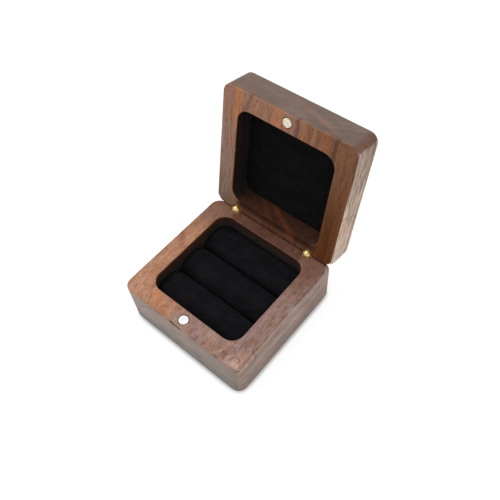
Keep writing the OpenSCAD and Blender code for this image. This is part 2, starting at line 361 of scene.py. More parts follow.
def walnut(name, tones, cut):
    """Oiled walnut with its grain along Y of the shut box. Each zone tints the wood where all its ramps
    have risen, the later over the earlier, and each figure is a soft band about a plane that tints it
    inside its ramps. Wood that is tinted dark has less gloss."""
    f = Finish(name)
    at = f.millimetres(cut.turn)
    place = f.add("SeparateXYZ", {0: at}).outputs
    bent = f.wandering(at, (0.045, 0.016, 0.045), (9, 0, 9))
    patterns = wood_patterns(f, at, bent, place, cut.pith)
    end_grain = f.range(f.math("ABSOLUTE", place["Y"]), *END_GRAIN)
    tone = wood_tone(f, patterns, place, end_grain, cut)
    wood = f.ramp(tone, (0.28, tones.dark), (0.43, tones.middle), (0.56, tones.light), (0.74, tones.pale))
    warmth = f.math("MULTIPLY", f.math("ADD", patterns["blotch"], patterns["streak"]), 0.5)
    hue = f.mix(f.range(warmth, 0.40, 0.60), (1.10, 0.98, 0.80), (0.94, 1.01, 1.14))
    hue = f.mix(f.math("MULTIPLY", end_grain, 0.65), hue, PLAIN)
    wood = f.mix(1.0, wood, hue, "MULTIPLY")
    uneven = f.math("MULTIPLY", f.centred(patterns["patch"]), 10)

    def inside(ramps):
        """How far all the ramps have risen. A short ramp is even, and a longer one wanders with the
        patches."""
        mask = 1.0
        for axis, start, end in ramps:
            value = place[axis] if abs(start - end) < 3 else f.math("ADD", place[axis], uneven)
            mask = f.math("MULTIPLY", mask, f.range(value, start, end))
        return mask

    # The zone tints carry painted shade and painted light as well as the wood's own tone.
    tint = PLAIN
    for ramps, colour in cut.zones:
        tint = f.mix(inside(ramps), tint, colour)
    wood = f.mix(1.0, wood, tint, "MULTIPLY")
    gloss = f.range(f.vector("DOT_PRODUCT", tint, (0.3, 0.4, 0.3)), 0.05, 0.50, 0.02, 0.35)
    wavy = f.wandering(at, 0.22, (2.6, 2.6, 2.6))
    for direction, centre, half, fade, ramps, colour in cut.figures:
        away = f.math("ABSOLUTE", f.math("SUBTRACT", f.vector("DOT_PRODUCT", wavy, direction), centre))
        mask = f.math("MULTIPLY", f.range(away, half + fade, half), inside(ramps))
        wood = f.mix(1.0, wood, f.mix(mask, PLAIN, colour), "MULTIPLY")
    pits = f.noise(bent, (5.6, 0.36, 5.6), 1.0, 0.4)
    pores = f.range(f.math("ADD", pits, f.math("MULTIPLY", patterns["rings"], 0.10)), 0.65, 0.72)
    in_pores = f.mix(1.0, wood, (0.30, 0.24, 0.22), "MULTIPLY")
    wood = f.mix(f.math("MULTIPLY", pores, tones.pore_strength), wood, in_pores)
    relief = f.math("SUBTRACT", f.math("MULTIPLY", patterns["fibre"], 0.5), pores)
    return f.surface(
        Base_Color=wood,
        Roughness=f.range(pores, 0, 1, tones.roughness, min(1.0, tones.roughness + 0.25)),
        Normal=f.bump(relief, 0.03, 0.6),
        Specular_IOR_Level=gloss,
    )


def polished_metal(name, colour, roughness, scratch_mm, dulled=0.82):
    """Metal with fine wear: cloudy gloss and hair-thin scratches. Its dull clouds have that share of its
    colour."""
    f = Finish(name)
    at = f.millimetres()
    cloud = f.noise(at, 0.9, 3.0, 0.6)
    lines = f.noise(at, (3.0, 14.0, 14.0), 2.0, 0.5)
    tint = f.mix(f.range(cloud, 0.35, 0.7), colour, tuple(c * dulled for c in colour))
    clouded = f.range(cloud, 0.3, 0.7, roughness * 0.8, roughness * 1.5)
    return f.surface(
        Base_Color=tint,
        Metallic=1.0,
        Roughness=f.math("ADD", clouded, f.math("MULTIPLY", lines, 0.05)),
        Normal=f.bump(lines, scratch_mm),
    )


def velvet_finish(name, look, turn=0.0, painted_lift=1.0):
    """Short black pile: speckled tips, brushed patches that lean in different ways, and a soft sheen. The
    colour is multiplied by its last argument, which above 1 paints light onto this copy of the velvet."""
    f = Finish(name)
    at = f.millimetres(turn)
    tips = f.noise(at, 7.5, 2.0, 0.6)
    nap = f.noise(at, (0.16, 0.22, 0.16), 3.0, 0.55)
    strokes = f.noise(at, (0.9, 0.35, 0.9), 3.0, 0.6)
    lean = f.math("ADD", f.math("MULTIPLY", nap, 0.6), f.math("MULTIPLY", strokes, 0.4))
    pile = f.mix(f.range(lean, 0.38, 0.62), look.deep, look.pile)
    pile = f.mix(f.math("MULTIPLY", f.range(tips, 0.55, 0.8), 0.5), pile, look.tip)
    return f.surface(
        Base_Color=f.mix(1.0, pile, (painted_lift,) * 3, "MULTIPLY"),
        Roughness=0.92,
        Normal=f.bump(tips, 0.10, 0.8, f.bump(lean, 0.35, 0.35)),
        Specular_IOR_Level=0.08,
        Sheen_Weight=look.sheen,
        Sheen_Roughness=0.45,
        Sheen_Tint=(*look.sheen_tint, 1),
    )


def foam_finish():
    """Dark closed-cell foam with fine pits."""
    f = Finish("foam")
    cell_places = f.vector("MULTIPLY", f.millimetres(), (2.6, 2.6, 2.6))
    cells = f.add("TexVoronoi", {"Vector": cell_places, "Scale": 1.0}).outputs["Distance"]
    shade = f.mix(f.range(cells, 0.1, 0.7), (0.030, 0.030, 0.033), (0.062, 0.062, 0.068))
    return f.surface(Base_Color=shade, Roughness=0.95, Normal=f.bump(cells, 0.12))


def card_finish():
    """Grey card with short fibres and faint specks."""
    f = Finish("grey card")
    at = f.millimetres()
    fibres = f.noise(at, (1.1, 3.2, 3.2), 4.0, 0.65)
    specks = f.range(f.noise(at, 4.0, 1.0, 0.4), 0.68, 0.74)
    shade = f.mix(f.range(fibres, 0.35, 0.65), (0.27, 0.245, 0.21), (0.40, 0.375, 0.33))
    shade = f.mix(specks, shade, (0.12, 0.10, 0.08))
    return f.surface(Base_Color=shade, Roughness=0.9, Normal=f.bump(fibres, 0.03))


# Zones tint the wood by its place in the shut box, in millimetres: ramps (axis, start, end) that all have
# to rise, and a colour. The outer faces and the walls of the two wells come last, since a later zone covers
# an earlier one.
# Besides the wood's own tone, some zones paint shade and some paint light, as noted at each.
FRONT, BACK = ("Y", -28.3, -29.5), ("Y", 28.3, 29.5)
LEFT, RIGHT = ("X", -28.3, -29.5), ("X", 28.3, 29.5)
WITHIN = (("X", -22.7, -22.4), ("X", 22.7, 22.4), ("Y", -22.7, -22.4), ("Y", 22.7, 22.4))
BELOW_RIM, ABOVE_RIM = ("Z", 22.45, 22.1), ("Z", 22.9, 23.2)
ON_BASE_RIM, ON_LID_RIM = ("Z", 19, 22), ("Z", 26, 23.2)
IN_BASE_WELL = (*WITHIN, ("Z", 3, 3.5), ("Z", 22.3, 22.0))
IN_LID_WELL = (*WITHIN, ("Z", 22.95, 23.2), ("Z", 34, 33.8))
ABOVE_LID_LINING = ("Z", 34, 33.8)
BASE_ZONES = (
    ((("X", 0, -10), ON_BASE_RIM), (1.36, 1.14, 0.90)),
    ((("X", -10, -24), ("Y", -16, -24), ON_BASE_RIM), (1.52, 1.34, 1.10)),
    ((("X", -6, 22),), (0.90, 0.96, 1.14)),
    ((("X", -6, 5), ("X", 25, 19), ("Y", -18, -23), ON_BASE_RIM), (1.14, 1.23, 1.45)),
    ((("X", 14, 22), ("Y", -18, -26)), (1.30, 1.36, 1.62)),
    # Painted shade of the open lid: the rear half of the base darker, more so at the right, and darker still
    # on the rim's strip behind the well.
    ((("Y", 4, 22),), (0.70, 0.58, 0.52)),
    ((("X", 14, 24), ("Y", 4, 22)), (0.66, 0.60, 0.62)),
    ((("Y", 21.0, 23.0), ("X", -21, -17), ("X", 21, 17)), (0.44, 0.31, 0.26)),
    # The front face paler and greyer: the end grain's own grey with painted light over it. Towards the foot
    # it turns darker and greyer.
    ((FRONT, BELOW_RIM), (1.18, 1.62, 2.05)),
    ((FRONT, ("X", -12, -27), BELOW_RIM), (1.48, 1.98, 2.46)),
    ((FRONT, ("X", 0, 26), BELOW_RIM), (1.00, 1.42, 1.86)),
    ((FRONT, ("Z", 15, 3)), (0.66, 1.01, 1.38)),
    ((BACK, BELOW_RIM), (0.85, 1.10, 1.25)),
    ((LEFT, BELOW_RIM), (0.95, 1.15, 1.30)),
    # Painted light: the right face much paler and greyer than the wood. Towards the foot it turns darker.
    ((RIGHT, BELOW_RIM), (1.30, 1.62, 1.98)),
    ((RIGHT, ("Z", 15, 3)), (0.92, 1.14, 1.36)),
    # Painted shade in the well: its walls dark, and grey-blue below a band along the top. The left wall's
    # band is painted lighter and warmer, as painted light.
    (IN_BASE_WELL, (0.20, 0.165, 0.175)),
    ((*IN_BASE_WELL, ("X", -20, -21.5)), (0.37, 0.235, 0.15)),
    ((*WITHIN, ("Z", 3, 3.5), ("Z", 21.2, 18.8)), (0.165, 0.225, 0.330)),
)
LID_ZONES = (
    ((ON_LID_RIM,), (1.22, 1.08, 0.94)),
    ((("X", -23, -26), ("Y", -18, -8), ON_LID_RIM), (1.08, 1.20, 1.32)),
    ((("X", -2, 24), ON_LID_RIM), (0.86, 0.69, 0.47)),
    ((("X", 20.5, 24.5), ("Y", 0, -12), ON_LID_RIM), (0.72, 0.56, 0.34)),
    ((("X", 14, 24), ("Y", -28, 12), ON_LID_RIM), (0.46, 0.28, 0.125)),
    ((("X", -20, -24), ("Y", 6, 20), ON_LID_RIM), (0.90, 1.02, 1.10)),
    # Painted shade: the rim's strip along the hinge side, which sits low beside the base when the lid is
    # open, darkened.
    ((("Y", 21.0, 22.5), ("X", -22, -18), ("X", 22, 20), ON_LID_RIM), (0.48, 0.37, 0.29)),
    ((FRONT, ABOVE_RIM), (0.55, 0.68, 0.80)),
    ((FRONT, ("X", 4, -7), ABOVE_RIM), (0.50, 0.60, 0.69)),
    ((FRONT, ("X", -15, -22), ABOVE_RIM), (0.53, 0.62, 0.71)),
    ((FRONT, ("X", -8, -20), ("Z", 30, 25), ABOVE_RIM), (0.52, 0.56, 0.60)),
    ((FRONT, ("X", 25, 29), ABOVE_RIM), (0.46, 0.46, 0.48)),
    ((BACK, ABOVE_RIM), (0.85, 1.05, 1.15)),
    ((LEFT, ABOVE_RIM), (0.95, 1.15, 1.30)),
    # Painted light: the lid's right side much paler and greyer than the wood, and paler still towards the
    # hinge.
    ((RIGHT, ABOVE_RIM), (1.60, 2.10, 2.45)),
    ((RIGHT, ("Y", -22, 10), ABOVE_RIM), (2.20, 2.90, 3.25)),
    ((("X", 26.6, 28.4), ("Y", -27.0, -28.6), ABOVE_RIM), (0.62, 0.53, 0.50)),
    # Painted shade in the lid's well: its walls dark, and darker and bluer deeper in. The low wall, which
    # faces up when the lid is open, is painted lighter, as painted light, and the lit eased edge along its
    # rim is darkened, as painted shade.
    (IN_LID_WELL, (0.13, 0.16, 0.18)),
    ((*WITHIN, ("Z", 24.8, 29.8), ABOVE_LID_LINING), (0.092, 0.145, 0.220)),
    ((("X", -21, -16), ("X", 22.5, 21.5), ("Y", 20.5, 21.8), ("Y", 25, 24), ABOVE_LID_LINING),
     (0.255, 0.200, 0.190)),
    ((("X", -20, -16), ("X", 21, 19), ("Y", 21.5, 22.0), ("Y", 23.3, 22.8), ("Z", 23.5, 23.2)),
     (0.15, 0.10, 0.08)),
)
# Figures are soft bands in the wood: the direction across a band, its middle along that direction, its half
# width, its fade, the ramps that bound it, and a colour.
AT_BASE_RIM, AT_MARK = ("Z", 21.5, 22.2), ("Z", 21.9, 22.25)
LID_FRONT_RIM = (("Y", -17, -20), ("Z", 24.5, 23.2))
LOW_WALL = (("Y", 20.5, 21.8), ("Y", 26, 24))
BASE_FIGURES = (
    ((0.30, 0.95, 0), -28.6, 1.2, 1.6, (("X", -22, -18), ("X", -7, -11), AT_BASE_RIM), (1.14, 1.01, 0.80)),
    ((0.75, 0.66, 0), -13.5, 0.9, 1.8, (("X", -1, 3), ("X", 12, 8), ("Y", -18, -23), AT_BASE_RIM),
     (0.86, 0.76, 0.80)),
    ((0.85, -0.53, 0), 32.3, 0.3, 1.5, (("Y", -20, -24), AT_BASE_RIM), (0.70, 0.64, 0.66)),
    ((0.85, -0.53, 0), 30.4, 0.3, 1.0, (("Y", -25.5, -28), AT_BASE_RIM), (1.40, 1.26, 1.06)),
    ((0.10, 1.0, 0), -29.55, 0.10, 0.30, (("X", -4.4, -3.4), ("X", 3.0, 0.8), AT_MARK), (0.30, 0.22, 0.20)),
    ((0.10, 1.0, 0), -29.60, 0.28, 0.30, (("X", -4.2, -3.6), ("X", -0.4, -1.8), AT_MARK), (0.45, 0.36, 0.34)),
    ((0.8, 0.6, 0), -20.8, 0.5, 1.8, (("X", -20, -24), ("Y", -4, 0), AT_BASE_RIM), (0.86, 0.74, 0.74)),
)
LID_FIGURES = (
    ((0.32, 0, 0.947), 30.3, 0.4, 1.3, (("Y", -26, -28), ("X", -8, 0), ("X", 21, 16)), (1.30, 1.09, 1.00)),
    ((0.32, 0, 0.947), 27.8, 0.6, 1.6, (("Y", -26, -28), ("X", -2, 5), ("X", 21, 15)), (0.92, 0.84, 0.80)),
    ((0.32, 0, 0.947), 33.2, 0.9, 1.6, (("Y", -26, -28), ("X", 2, 9), ("X", 24, 17)), (0.86, 0.88, 0.90)),
    ((0.30, 0, 0.954), 26.6, 1.2, 2.6, (("Y", -26, -28), ("X", -18, -10), ("X", 8, 2)), (1.10, 1.12, 1.14)),
    ((0.49, 0, 0.87), 24.45, 0.3, 1.6, (("X", -8, -4), ("X", 15, 12), *LOW_WALL), (2.00, 1.62, 1.10)),
    ((0.66, 0, 0.75), 16.4, 0.2, 1.9, (("X", -12, -9), ("X", 2, 0), *LOW_WALL), (1.50, 1.28, 0.95)),
    ((1, 0, 0), -22.3, 0.9, 1.4, (("Y", -8, -16), ("Z", 24.5, 23.2)), (1.40, 1.14, 0.78)),
    ((1, 0.35, 0), -26.8, 0.2, 1.1, LID_FRONT_RIM, (0.66, 0.56, 0.58)),
    ((1, 0, 0), -4.0, 1.4, 1.6, LID_FRONT_RIM, (1.26, 1.05, 0.82)),
    ((1, 0, 0), 4.6, 0.4, 0.9, LID_FRONT_RIM, (0.56, 0.48, 0.50)),
    ((1, 0, 0), 8.0, 0.6, 1.2, LID_FRONT_RIM, (1.25, 1.10, 0.88)),
    ((1, 0, 0), 16.6, 0.8, 1.3, LID_FRONT_RIM, (1.38, 1.18, 0.86)),
    ((1, 0, 0), 21.0, 0.3, 1.2, LID_FRONT_RIM, (0.60, 0.52, 0.50)),
)


# ---------------------------------------------------------------- sizes and colours


def colour(label, note, value):
    return bpy.props.FloatVectorProperty(
        name=label, description=note, default=value, min=0.0, max=1.0, subtype="COLOR", size=3)


def share(label, note, value):
    return bpy.props.FloatProperty(
        name=label, description=note, default=value, min=0.0, max=1.0, subtype="FACTOR")


def length_mm(label, note, value):
    return bpy.props.FloatProperty(
        name=label, description=note, default=value / 1000, min=0.0, precision=5, unit="LENGTH")


def power(label, note, value):
    return bpy.props.FloatProperty(name=label, description=note, default=value, min=0.0, unit="POWER")


class BOX_PG_walnut(bpy.types.PropertyGroup):
    dark: colour("Dark", "Late growth and deep figure", (0.135, 0.063, 0.040))
    middle: colour("Middle", "Common tone of the wood", (0.245, 0.127, 0.082))
    light: colour("Light", "Early growth", (0.330, 0.180, 0.120))
    pale: colour("Pale", "Palest streaks", (0.440, 0.260, 0.180))
    pore_strength: share("Pore strength", "How dark the pores show", 0.6)
    roughness: share("Roughness", "Roughness of the oiled surface", 0.50)
    eased_edge: length_mm("Eased edge", "Width of the sanded edges of rims, pockets and cavities", 0.35)


class BOX_PG_metal(bpy.types.PropertyGroup):
    brass: colour("Brass", "Colour of the hinges", (0.80, 0.60, 0.26))
    nickel: colour("Nickel", "Colour of the base magnet's plating", (0.77, 0.778, 0.775))
    # The lid magnet's nickel is tinted warm: a painted reflection.
    painted_reflection_nickel: colour("Painted-reflection nickel", "Colour of the lid magnet's plating", (0.80, 0.72, 0.57))
    chamfer: length_mm("Chamfer", "Width of the eased edge of a magnet", 0.25)


class BOX_PG_velvet(bpy.types.PropertyGroup):
    deep: colour("Deep", "Pile that leans away from the light", (0.0036, 0.0036, 0.0043))
    pile: colour("Pile", "Pile that leans towards the light", (0.0072, 0.0072, 0.0085))
    tip: colour("Tips", "Tips of the pile", (0.0135, 0.0135, 0.0155))
    sheen_tint: colour("Sheen tint", "Colour of the sheen", (0.60, 0.63, 0.70))
    sheen: share("Sheen", "Strength of the sheen", 0.016)
    swell: length_mm("Swell", "Furthest that the stuffing may push the velvet out", 0.45)


class BOX_PG_stage(bpy.types.PropertyGroup):
    top: power("Top lamp", "Power of the soft lamp above", 1.2)
    room: share("Room light", "Strength of the even light from all round", 0.66)
    floor_glow: share("Floor glow", "How white the floor shows to the camera in its own right", 0.86)


# ---------------------------------------------------------------- the pieces


BASE_CUT = Cut(
    turn=0.0,
    pith=(34.0, 0.0, -38.0),
    zones=BASE_ZONES,
    figures=BASE_FIGURES,
    layers={"broad": 0.22, "rings": 0.20, "fibre": 0.46, "patch": 0.16, "blotch": 0.62, "streak": 0.16,
            "lines": 0.30, "swirl": 0.62},
    end_layers={"broad": 0.30, "rings": 0.26, "fibre": 0.16, "patch": 0.16},
    right_contrast=1.9,
)
LID_CUT = Cut(
    turn=LID_OPEN,
    pith=(-22.0, 60.0, 92.0),
    zones=LID_ZONES,
    figures=LID_FIGURES,
    layers={"broad": 0.20, "rings": 0.14, "fibre": 0.40, "patch": 0.12, "streak": 0.52, "lines": 0.50},
    end_layers={"broad": 0.34, "rings": 0.22, "fibre": 0.12, "patch": 0.20},
    right_contrast=2.4,
)
REAR_CORNERS = (26.0, 22.5)     # beyond this |x| and y lie the ends of the rear bevels


class BOX_OT_walnut_case(bpy.types.Operator):
    """Base and lid in solid oiled walnut, with sanded edges"""

    bl_idname = "display_box.walnut_case"
    bl_label = "Walnut case"

    def execute(self, context):
        tones = context.scene.box_walnut
        for body, cut in (("base", BASE_CUT), ("lid", LID_CUT)):
            name, node = f"walnut_{body}", f"{body}_body"
            edge = tones.eased_edge * 1000
            made = finished_copy(name, node, edge, WOOD_SHARP_DEG, cut.turn, REAR_CORNERS)
            keep(made, body, walnut(name + "_wood", tones, cut), node)
        return {"FINISHED"}


class BOX_OT_brass_hinges(bpy.types.Operator):
    """Barrel hinges in polished brass: knuckles with their barrels, and the pins through them"""

    bl_idname = "display_box.brass_hinges"
    bl_label = "Brass hinges"

    def execute(self, context):
        brass = polished_metal("polished brass", tuple(context.scene.box_metal.brass), 0.26, 0.004)
        for side in ("left", "right"):
            for body in ("base", "lid"):
                node = f"{body}_barrel_{side}"
                barrel = finished_copy(f"brass_{body}_{side}", node, 0, BRASS_SHARP_DEG)
                keep(barrel, body, brass, node)
            node = f"hinge_pin_{side}"
            pin = finished_copy(f"brass_pin_{side}", node, PIN_EDGE_MM, WOOD_SHARP_DEG)
            keep(pin, "base", brass, node)
        return {"FINISHED"}


def magnet_grid(radius, thickness, chamfer):
    """Disc carried round its axis: a profile from the middle of one face, over two eased edges, to the
    middle of the other. An eased edge is a quarter circle."""
    turn = np.linspace(0, math.pi / 2, 6)
    face = np.linspace(0.08, 1, 9)[:-1] * (radius - chamfer)
    edge_r = radius - chamfer + chamfer * np.sin(turn)
    edge_z = thickness / 2 - chamfer + chamfer * np.cos(turn)
    top_r = np.concatenate([face, edge_r])
    top_z = np.concatenate([np.full(len(face), thickness / 2), edge_z])
    r, z = np.concatenate([top_r, top_r[::-1]]), np.concatenate([top_z, -top_z[::-1]])
    angle = np.linspace(0, 2 * math.pi, 64, endpoint=False)
    rings = [r[:, None] * np.cos(angle), r[:, None] * np.sin(angle), np.repeat(z[:, None], len(angle), 1)]
    return np.stack(rings, -1)


class BOX_OT_magnets(bpy.types.Operator):
    """Two nickel-plated magnets, one in each front rim"""

    bl_idname = "display_box.magnets"
    bl_label = "Magnets"

    def execute(self, context):
        metal = context.scene.box_metal
        nickel = polished_metal("satin nickel", tuple(metal.nickel), 0.58, 0.001, 0.95)
        # The lid magnet's nickel is tinted warm, as a painted reflection.
        painted_reflection = polished_metal("worn nickel", tuple(metal.painted_reflection_nickel), 0.34, 0.003)
        low, high = box_mm("base_magnet")
        middle, size = (low + high) / 2, high - low
        grid = magnet_grid(size[0] / 2, size[2], metal.chamfer * 1000) + middle
        keep(closed_piece("nickel_magnet_base", grid), "base", nickel, "base_magnet")
        mirrored = grid.copy()
        mirrored[..., 2] = 2 * AXIS_MM[2] - grid[..., 2]
        made = closed_piece("nickel_magnet_lid", turned_about_hinge(mirrored, -LID_OPEN))
        keep(made, "lid", painted_reflection, "lid_magnet")
        return {"FINISHED"}


def roll_grid(low, high):
    """Velvet roll along X, as rings of one closed section. Over the crown y = w sin(a)^(2/p) and z = h - s
    + s cos(a)^(2/p). The sides run straight down and draw in towards the flat foot. Within end_round of
    both ends t runs from 0 to 1, and the section sinks and narrows by 1 - sqrt(1 - t^2)."""
    crown_power, shoulder, height = 2.3, 4.4, 13.0
    foot_draw = 0.4
    end_round, end_drop, end_narrow = 2.4, 1.3, 0.7
    half, middle = (high - low) / 2, (high + low) / 2
    turn = np.linspace(math.pi / 2, -math.pi / 2, 57)
    ease = np.linspace(0, 1, 13)[:-1]
    crown_y = np.sign(turn) * np.abs(np.sin(turn)) ** (2 / crown_power)
    crown_z = 1 - shoulder / height * (1 - np.clip(np.cos(turn), 0, 1) ** (2 / crown_power))
    drawn_in = foot_draw / half[1]
    side_y, side_z = 1 - drawn_in * (1 - ease), ease * crown_z[0]
    foot_y = np.linspace(drawn_in - 1, 1 - drawn_in, 19)[1:-1]
    y = np.concatenate([side_y, crown_y, -side_y[::-1], foot_y])
    z = np.concatenate([side_z, crown_z, side_z[::-1], np.zeros(len(foot_y))])
    near = half[0] - end_round * (1 - np.sin(np.linspace(0, math.pi / 2, 13)))
    x = np.concatenate([-near[::-1], np.linspace(-near[0], near[0], 60)[1:-1], near])
    t = np.clip((np.abs(x) - half[0] + end_round) / end_round, 0, 1)
    fade = (1 - np.sqrt(1 - t ** 2))[:, None]
    across, up = y * (half[1] - end_narrow * fade), z * (2 * half[2] - end_drop * fade)
    grid = np.stack([np.repeat(x[:, None], len(y), 1), across, up], -1)
    return grid + (middle[0], middle[1], low[2])


def kept_in_well(points, low, high, corner, half_w, half_d, middle_y):
    """Moves points back inside their roll's own strip and inside the well, whose corners are round."""
    out = np.clip(points, low, high)
    x, y = out[:, 0], out[:, 1] - middle_y
    cx, cy = half_w - corner, half_d - corner
    dx, dy = np.abs(x) - cx, np.abs(y) - cy
    far = np.hypot(np.maximum(dx, 0), np.maximum(dy, 0))
    pull = np.where((dx > 0) & (dy > 0) & (far > corner), corner / np.maximum(far, TINY), 1.0)
    out[:, 0] = np.where(pull < 1, np.sign(x) * (cx + dx * pull), x)
    out[:, 1] = np.where(pull < 1, np.sign(y) * (cy + dy * pull), y) + middle_y
    return out


def plumped(made, most_mm, scale=10.0, voxel_mm=0.75, frames=20):
    """Fills a piece by a cloth pass with inner pressure: a copy ten times as large gets even cells and
    swells for some frames. No point moves further than most_mm. The piece takes the copy's mesh, and the
    swollen points come back in millimetres."""
    scene = bpy.context.scene
    work = bpy.data.objects.new(made.name + "_swelling", made.data.copy())
    scene.collection.objects.link(work)
    work.data.transform(Matrix.Scale(scale, 4))
    remesh = work.modifiers.new("even cells", "REMESH")
    remesh.mode, remesh.voxel_size = "VOXEL", voxel_mm / 1000 * scale
    even = bpy.data.meshes.new_from_object(work.evaluated_get(bpy.context.evaluated_depsgraph_get()))
    work.modifiers.clear()
    work.data = even
    start = np.zeros(len(even.vertices) * 3)
    even.vertices.foreach_get("co", start)
    cloth = work.modifiers.new("stuffing", "CLOTH")
    cloth.settings.quality = 6
    cloth.settings.mass = 0.3
    cloth.settings.use_pressure = True
    cloth.settings.uniform_pressure_force = 4.0
    cloth.settings.effector_weights.gravity = 0.0
    cloth.settings.tension_stiffness = cloth.settings.compression_stiffness = 12
    cloth.settings.bending_stiffness = 0.4
    cloth.point_cache.frame_start, cloth.point_cache.frame_end = 1, frames
    first = scene.frame_current
    for number in range(1, frames + 1):
        scene.frame_set(number)
    swollen = work.evaluated_get(bpy.context.evaluated_depsgraph_get()).to_mesh()
    end = np.zeros(len(start))
    swollen.vertices.foreach_get("co", end)
    scene.frame_set(first)
    start, end = start.reshape(-1, 3) / scale * 1000, end.reshape(-1, 3) / scale * 1000
    move = end - start
    size = np.linalg.norm(move, axis=1, keepdims=True)
    end = start + move * np.minimum(1, most_mm / np.maximum(size, TINY))
    work.modifiers.clear()
    old = made.data
    made.data = even
    bpy.data.objects.remove(work)
    bpy.data.meshes.remove(old)
    return end


def store(made, points_mm):
    """Writes points in millimetres back into a piece's mesh."""
    made.data.vertices.foreach_set("co", (np.asarray(points_mm) / 1000).ravel())
    made.data.update()
    made.data.shade_smooth()


# How far a roll starts inside its CAD solid, before it is filled. Its foot starts below the board, so that
# it is still full where it is cut off flat there.
START_INSET = (0.25, 0.25, -0.80), (0.25, 0.25, 0.15)
SLIT_SHARE = np.array([0, 0.12, 0])     # how far a filled roll may swell into the slits beside it
CROWN_SHARE = np.array([0, 0, 0.30])    # and above its CAD solid


class BOX_OT_velvet_pad(bpy.types.Operator):
    """Three velvet rolls side by side, filled by cloth pressure, with a slit between each two"""

    bl_idname = "display_box.velvet_pad"
    bl_label = "Velvet pad"

    def execute(self, context):
        look = context.scene.box_velvet
        # The pad's velvet is the lid's velvet painted 1.15 times lighter: painted light.
        velvet = velvet_finish("black velvet", look, painted_lift=1.15)
        front, rear = box_mm("velvet_roll_front"), box_mm("velvet_roll_rear")
        half_w, half_d = front[1][0], (rear[1][1] - front[0][1]) / 2
        middle_y = (rear[1][1] + front[0][1]) / 2
        for place in ("front", "middle", "rear"):
            low, high = box_mm(f"velvet_roll_{place}")
            made = closed_piece(f"velvet_{place}", roll_grid(low + START_INSET[0], high - START_INSET[1]))
            points = plumped(made, look.swell * 1000)
            lowest, highest = low - SLIT_SHARE, high + SLIT_SHARE + CROWN_SHARE
            store(made, kept_in_well(points, lowest, highest, WELL_CORNER_MM, half_w, half_d, middle_y))
            smooth = made.modifiers.new("smooth", "SUBSURF")
            smooth.levels = smooth.render_levels = 1
            keep(made, "base", velvet, f"velvet_roll_{place}")
        return {"FINISHED"}


def lining_grid(low, high, corner, edge):
    """Panel of velvet over a board, in rings of a rounded rectangle. They run from the middle of the face
    out to its edge, round it over a quarter circle, and down the side. The face bows by less than a tenth
    of a millimetre, as a sum of two long sine waves."""
    half, middle = (high - low) / 2, (high + low) / 2
    around = np.linspace(0, 2 * math.pi, 256, endpoint=False)
    ux, uy = np.cos(around), np.sin(around)
    inner = np.linspace(0.02, 1, 60)
    bend = np.linspace(0, math.pi / 2, 8)[1:]
    side = np.linspace(edge, 2 * half[2], 5)[1:]
    inset = np.concatenate([np.full(len(inner), edge), edge * (1 - np.sin(bend)), np.zeros(len(side))])
    depth = np.concatenate([np.zeros(len(inner)), edge * (1 - np.cos(bend)), side])
    spread = np.concatenate([inner, np.ones(len(bend) + len(side))])[:, None]
    radius = np.maximum(corner - inset, 0.5)
    cx, cy = half[0] - inset - radius, half[1] - inset - radius
    # the rounded rectangle in each direction: a ray from the middle meets a side or a corner's circle
    hx, hy = (half[0] - inset)[:, None], (half[1] - inset)[:, None]
    t = np.minimum(hx / np.maximum(np.abs(ux), TINY), hy / np.maximum(np.abs(uy), TINY))
    px, py = np.abs(ux) * t, np.abs(uy) * t
    in_corner = (px > cx[:, None]) & (py > cy[:, None])
    dot = np.abs(ux) * cx[:, None] + np.abs(uy) * cy[:, None]
    t_corner = dot + np.sqrt(np.maximum(dot ** 2 - (cx ** 2 + cy ** 2 - radius ** 2)[:, None], 0))
    t = np.where(in_corner, t_corner, t) * spread
    x, y = ux * t, uy * t
    wave = 0.054 * np.sin(x * 0.21 + 0.4) * np.cos(y * 0.17 - 0.8) + 0.036 * np.sin(x * 0.09 - y * 0.13)
    flat_at_edge = np.clip(3.5 * (1 - spread), 0, 1)
    z = np.clip(depth[:, None] - half[2] + wave * flat_at_edge + 0.06, -half[2], half[2])
    return np.stack([x + middle[0], y + middle[1], z + middle[2]], -1)


class BOX_OT_lid_lining(bpy.types.Operator):
    """Velvet stretched over a board in the lid"""

    bl_idname = "display_box.lid_lining"
    bl_label = "Lid lining"

    def execute(self, context):
        look = context.scene.box_velvet
        points = np.array([v.co for v in frame["nodes"]["lid_lining"].data.vertices]) * 1000
        shut = turned_about_hinge(points, LID_OPEN)
        low, high = shut.min(0), shut.max(0)
        grid = lining_grid(low, high, WELL_CORNER_MM, LINING_EDGE_MM)
        rings, around = grid.shape[:2]
        centre = grid[0].mean(0)
        points = turned_about_hinge(np.vstack([grid.reshape(-1, 3), centre]), -LID_OPEN)
        i, j = np.meshgrid(np.arange(rings - 1), np.arange(around), indexing="ij")
        k = (j + 1) % around
        quads = np.stack([i * around + j, (i + 1) * around + j, (i + 1) * around + k, i * around + k], -1)
        faces = quads.reshape(-1, 4).tolist()
        faces += [[rings * around, n, (n + 1) % around] for n in range(around)]
        made = piece_from("velvet_lid_lining", points, faces)
        towards_wood = turned_about_hinge(centre + np.array([0, 0, 5.0]), -LID_OPEN) - points[-1]
        if np.dot(made.data.polygons[-1].normal, towards_wood) > 0:
            made.data.flip_normals()
        cloth = made.modifiers.new("cloth", "SOLIDIFY")
        cloth.thickness, cloth.offset = LINING_CLOTH_MM / 1000, -1
        velvet = velvet_finish("black velvet of the lid", look, LID_OPEN)
        keep(made, "lid", velvet, "lid_lining")
        return {"FINISHED"}


